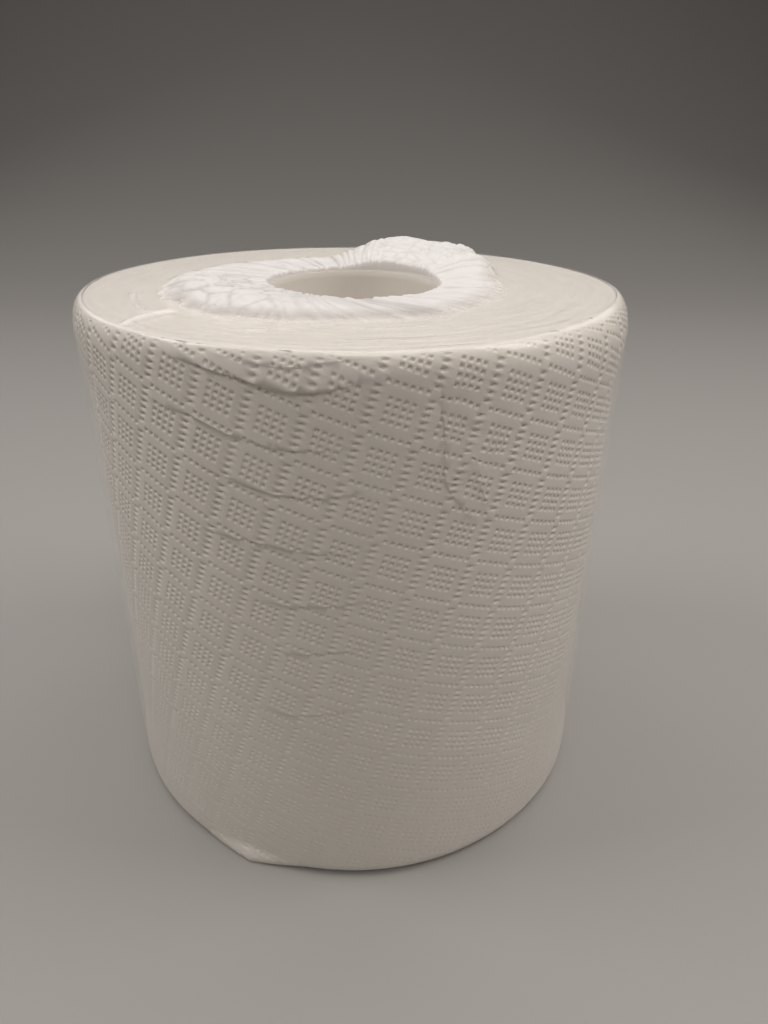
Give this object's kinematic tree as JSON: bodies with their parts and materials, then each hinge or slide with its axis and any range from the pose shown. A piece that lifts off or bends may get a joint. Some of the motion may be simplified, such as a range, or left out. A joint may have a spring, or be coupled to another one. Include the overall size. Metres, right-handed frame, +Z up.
{
  "type": "centrefeed paper roll",
  "caption": "Upright roll of white embossed paper with an open bore and no tube, in clear shrink film gathered round the top opening; the sheet is pulled out from the middle.",
  "frame": {"origin": "on the bore's axis, at the lower end of the film sleeve, where the roll stands", "axes": "+Z up along the bore, towards the gathered end; -Y towards the viewer of the picture; +X to that viewer's right"},
  "size_m": [0.1908, 0.1908, 0.1981],
  "materials": {
    "paper": "matt, embossed tissue",
    "film": "clear, glossy shrink film"
  },
  "bodies": {
    "root": {"paper_roll": "paper", "film_wrap": "film"}
  },
  "joints": []
}
